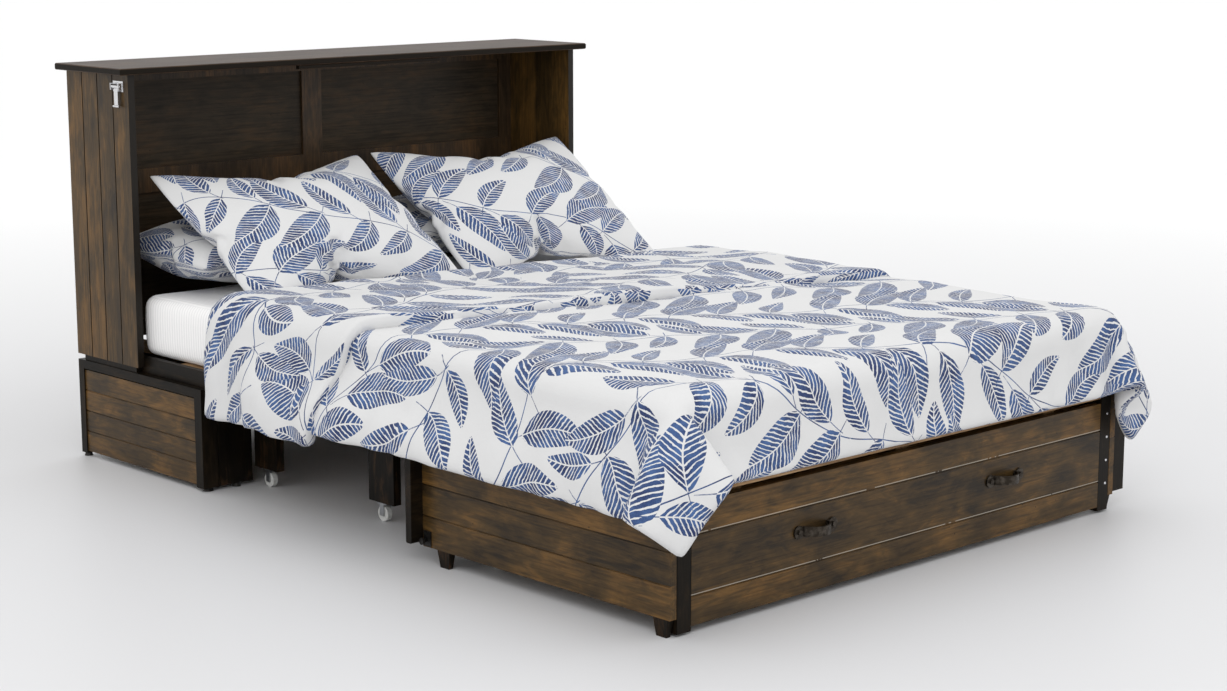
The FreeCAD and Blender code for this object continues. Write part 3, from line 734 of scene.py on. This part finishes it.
def turned_back(body_flat, body_rows):
    """The part folded over the rest: it starts as a copy of what lies under it, lifted off."""
    rows_under, columns = body_flat.shape[:2]
    xs = body_flat[0, :, 0]
    spacing = np.abs(body_flat[1, :, 1] - body_flat[0, :, 1])
    lifted = body_rows + surface_normals(body_rows) * TURN_LIFT
    out = np.zeros((TURN_ROWS, columns, 3))
    flat = np.zeros((TURN_ROWS, columns, 3))
    for c in range(columns):
        wide = xs[c] * TURN_HALF / DUVET_HALF
        depth = head_line(xs[c]) - free_line(xs[c])
        where = min(max(c + (abs(wide) - abs(xs[c])) * np.sign(xs[c]) / DUVET_SPACING, 0), columns - 1)
        extra = abs(wide) - DUVET_HALF if abs(wide) > DUVET_HALF else 0.0
        near, far = int(where), min(int(where) + 1, columns - 1)
        mix = where - near
        for r in range(TURN_ROWS):
            row = min(depth * r / (TURN_ROWS - 1) / spacing[c], rows_under - 1.001)
            low, part = int(row), row - int(row)
            side_a = lifted[low, near] * (1 - part) + lifted[low + 1, near] * part
            side_b = lifted[low, far] * (1 - part) + lifted[low + 1, far] * part
            out[r, c] = side_a * (1 - mix) + side_b * mix - np.array((0, 0, extra))
            flat[r, c] = (wide, depth * r / (TURN_ROWS - 1), 0)
    return out, flat


def surface_normals(rows):
    """Unit normals of a grid of points, all on the side that looks up in the middle."""
    along = np.gradient(rows, axis=0)
    across = np.gradient(rows, axis=1)
    normal = np.cross(along, across)
    normal /= np.linalg.norm(normal, axis=2, keepdims=True) + 1e-9
    return normal * np.sign(normal[len(rows) // 2, rows.shape[1] // 2, 2])


def fold_roll(body_rows, turned_rows, steps=5):
    """The rounded fold between the two layers."""
    start, end = body_rows[0], turned_rows[0]
    out = body_rows[0] - body_rows[2]
    out /= np.linalg.norm(out, axis=1, keepdims=True)
    radius = np.linalg.norm(end - start, axis=1, keepdims=True) / 2
    rows = []
    for k in range(1, steps + 1):
        angle = math.pi * k / (steps + 1)
        rows.append(start + (end - start) * (1 - math.cos(angle)) / 2 + out * radius * math.sin(angle) * 1.3)
    return np.array(rows)


def make_duvet():
    """Drops the single part, then the turned-back part on it, and joins the two through the fold."""
    support = support_boxes()
    make_solid_for_cloth(support)
    body, body_flat, body_rows = draped_body()
    turned_rows, turned_flat = turned_back(body_flat, body_rows)
    columns = body_rows.shape[1]
    turned = new_object("turned_drop", turned_rows.reshape(-1, 3), grid_faces(columns, len(turned_rows)))
    make_solid_for_cloth(body, outer=0.020)
    held = turned.vertex_groups.new(name="held")
    held.add(list(range(columns)), 1.0, "REPLACE")
    simulate(turned, 22, bending=4.0, tension=26.0, gap=0.012, pins="held")
    turned_rows = places(turned).reshape(turned_rows.shape)
    roll = fold_roll(body_rows, turned_rows)
    grid = np.concatenate([body_rows[::-1], roll, turned_rows])
    body_uv = body_flat[::-1, :, :2]
    top_edge = body_uv[-1, :, 1]
    roll_uv = np.array([np.stack([body_uv[-1, :, 0], top_edge + ROLL_STEP * (k + 1)], axis=1)
                        for k in range(len(roll))])
    turned_start = top_edge + ROLL_STEP * (len(roll) + 1)
    turned_uv = np.stack([turned_flat[..., 0], turned_start + turned_flat[..., 1]], axis=2)
    uvs = np.concatenate([body_uv, roll_uv, turned_uv]).reshape(-1, 2)
    for helper in (support, body, turned):
        bpy.data.objects.remove(helper)
    piece = new_object("duvet_with_turned_back_head", grid.reshape(-1, 3),
                       grid_faces(columns, len(grid)), uvs, cotton_print)
    thick = piece.vertex_groups.new(name="thick")
    for row in range(len(grid)):
        past = max(0, row - (len(grid) - 1 - THICKER_ROWS)) / THICKER_ROWS
        ring = list(range(row * columns, (row + 1) * columns))
        thick.add(ring, THIN + (1 - THIN) * past, "REPLACE")
    fill_cloth(piece, "thick", columns)
    return piece


def print_rim(piece, columns):
    """Carries the print on round the rim, where the second face starts a cloth's thickness further on."""
    count = len(piece.data.vertices) // 2
    rows = count // columns
    layer = piece.data.uv_layers["cloth"]
    for face in piece.data.polygons[-2 * (columns + rows - 2):]:
        for loop in face.loop_indices:
            vertex = piece.data.loops[loop].vertex_index
            if vertex < count:
                continue
            row, column = divmod(vertex - count, columns)
            across = (column == columns - 1) - (column == 0)
            along = (row == rows - 1) - (row == 0)
            layer.data[loop].uv += Vector((across * FILLING * 0.7, along * FILLING))


def fill_cloth(piece, group, columns):
    """Gives the cloth its filling: two faces and a rim, soft lumps, and gathers where it hangs."""
    co = places(piece)
    soft = ripple(co, 2.6, 0.014, 31) + ripple(co, 6.5, 0.009, 32) + ripple(co, 15.0, 0.003, 33)
    drop = np.clip((TOP_Z - 0.02 - co[:, 2]) / 0.18, 0, 1)
    along = np.where(np.abs(co[:, 0]) > mattress_high.x, co[:, 1], co[:, 0])
    phase = along * math.tau / 0.13 + ripple(co, 3.0, 5.0, 34)
    gathers = drop * 0.007 * np.sin(phase)
    normals = np.zeros(len(co) * 3)
    piece.data.vertices.foreach_get("normal", normals)
    set_places(piece, co + normals.reshape(-1, 3) * (np.maximum(soft + 0.009, 0) + gathers)[:, None])
    solid = piece.modifiers.new("filling", "SOLIDIFY")
    solid.thickness = FILLING
    solid.offset = 0.0
    solid.use_rim = True
    solid.vertex_group = group
    bake_modifiers(piece)
    print_rim(piece, columns)
    finer = piece.modifiers.new("finer", "SUBSURF")
    finer.levels = finer.render_levels = 1
    bake_modifiers(piece)
    smooth(piece)


duvet = make_duvet()
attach(duvet, "bedding")
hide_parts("duvet")
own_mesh(duvet)


# ------------------------------------------------------------------ small details
def screw_heads():
    """Domed screws down the face of the right foot post."""
    mesh = bmesh.new()
    low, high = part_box("foot_posts")
    for z in (0.075, 0.135, 0.195, 0.255):
        place = Matrix.Translation((high.x - 0.012, low.y - 0.0002, z)) @ Matrix.Rotation(math.pi / 2, 4, "X")
        bmesh.ops.create_cone(mesh, cap_ends=True, segments=20, radius1=0.0042, radius2=0.0026,
                              depth=0.0018, matrix=place)
    data = bpy.data.meshes.new("post_screws")
    mesh.to_mesh(data)
    mesh.free()
    made = bpy.data.objects.new("post_screws", data)
    scene.collection.objects.link(made)
    data.materials.append(chrome)
    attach(made, "foot_unit")


screw_heads()

# ------------------------------------------------------------------ floor, light, camera


def studio_floor():
    """Pale sweep: light grey round the bed, white further out, a painted light gradient that fades the floor
    into the white background.
    """
    made, g, shader = material("studio_floor", Roughness=0.5)
    point = g.add("ShaderNodeTexCoord").outputs["Object"]
    reach = g.math("DIVIDE", g.vector("LENGTH", point), 10.0)
    # painted light: the floor's colour grades from grey near the bed to white far out
    shade = g.ramp(reach, [(0.20, (0.70, 0.70, 0.71)), (0.62, (0.97, 0.97, 0.97))])
    g.feed(shader.inputs["Base Color"], shade)
    return made


floor = new_object("floor", [(-60, -60, 0), (60, -60, 0), (60, 60, 0), (-60, 60, 0)], [(0, 1, 2, 3)],
                   finish=studio_floor())

world = bpy.data.worlds.new("studio")
scene.world = world
world.use_nodes = True
world.node_tree.nodes["Background"].inputs["Color"].default_value = (1.0, 1.0, 1.0, 1)
world.node_tree.nodes["Background"].inputs["Strength"].default_value = 1.04


def area_light(name, place, target, size, power):
    data = bpy.data.lights.new(name, "AREA")
    data.shape = "RECTANGLE"
    data.size, data.size_y = size
    data.energy = power
    made = bpy.data.objects.new(name, data)
    made.location = place
    made.rotation_euler = (Vector(target) - Vector(place)).to_track_quat("-Z", "Y").to_euler()
    scene.collection.objects.link(made)


area_light("key", (-3.6, -3.2, 3.6), (0, -0.2, 0.3), (2.6, 2.0), 42)
area_light("fill", (4.2, -3.0, 2.8), (0, -0.5, 0.3), (3.0, 2.0), 12)
area_light("overhead", (0.3, 0.2, 4.2), (0, -0.2, 0.3), (3.5, 3.5), 14)

camera_data = bpy.data.cameras.new("camera")
camera_data.lens = 69.9
camera = bpy.data.objects.new("camera", camera_data)
camera.location = (-4.163, -4.532, 1.526)
camera.rotation_euler = (math.radians(90 - 10.63), 0, math.radians(-43.39))
scene.collection.objects.link(camera)
scene.camera = camera
scene.view_settings.view_transform = "Standard"
